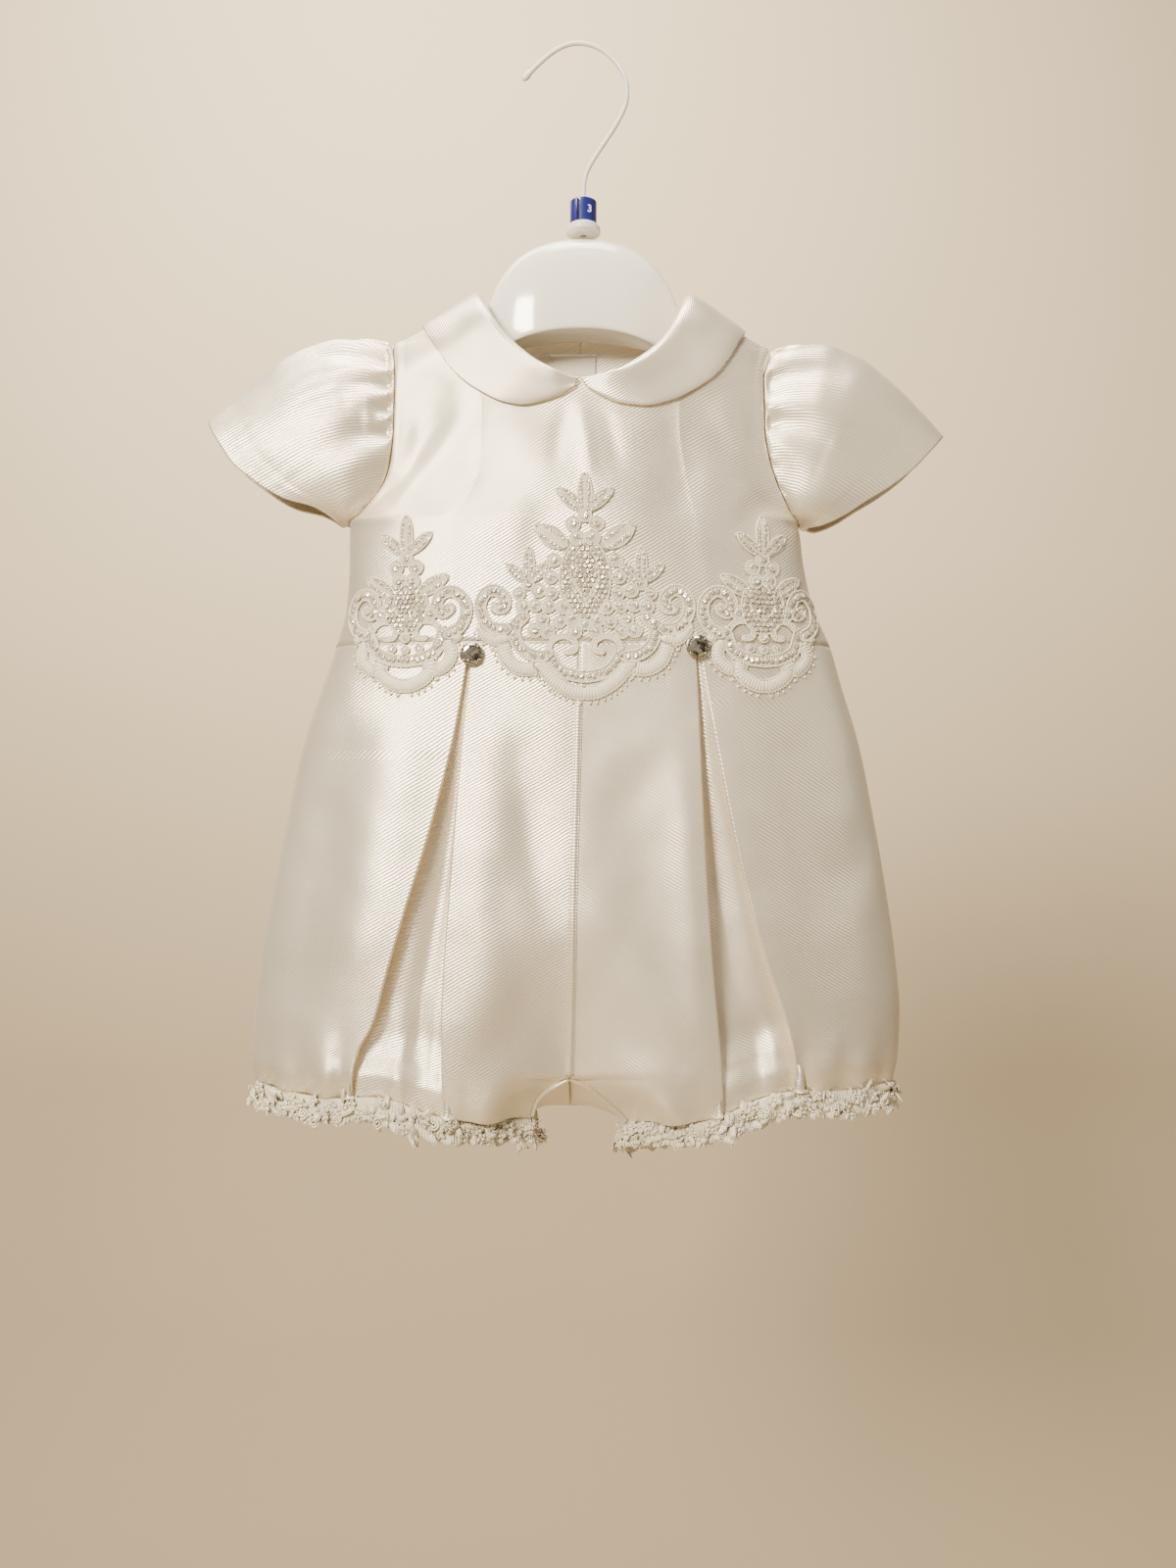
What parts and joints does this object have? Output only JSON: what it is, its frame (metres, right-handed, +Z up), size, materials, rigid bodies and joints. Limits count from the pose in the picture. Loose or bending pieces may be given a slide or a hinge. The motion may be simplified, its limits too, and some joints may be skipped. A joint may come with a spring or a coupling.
{
  "type": "baptism romper on a child's hanger",
  "caption": "Short-sleeved satin baby romper with a flat collar, bubble legs, inverted pleats and lace at the waist, hanging on a small hanger.",
  "frame": {"origin": "under the top of the hanger's hook, where it hangs", "axes": "+Z up, +X to the viewer's right from the front, -Y out of the garment's front"},
  "size_m": [0.3739, 0.0731, 0.5727],
  "materials": {
    "satin": "ivory duchesse satin, soft sheen, fine diagonal ribs",
    "lace": "corded ivory lace with clear sequins and small beads",
    "label": "woven ivory label, left bare",
    "crystal": "faceted, foiled behind",
    "setting": "polished",
    "hanger_plastic": "moulded white, glossy",
    "clear_plastic": "milky, slightly clear",
    "size_ring": "dark blue, glossy",
    "hook_wire": "white plastic coating on steel wire"
  },
  "bodies": {
    "root": {"bodice_front": "satin", "bodice_back_left": "satin", "bodice_back_right": "satin", "centre_welt": "satin", "collar_left": "satin", "collar_right": "satin", "sleeve_left": "satin", "sleeve_right": "satin", "shorts_front_left": "satin", "shorts_front_right": "satin", "shorts_back_left": "satin", "shorts_back_right": "satin", "leg_band_left": "satin", "leg_band_right": "satin", "leg_lace_left": "lace", "leg_lace_right": "lace", "motif_centre": "lace", "motif_left": "lace", "motif_right": "lace", "stone_setting_left": "setting", "stone_setting_right": "setting", "stone_left": "crystal", "stone_right": "crystal", "neck_label": "label", "hanger_body": "hanger_plastic", "hanger_bush": "clear_plastic", "size_ring": "size_ring", "hanger_hook": "hook_wire"}
  },
  "joints": []
}
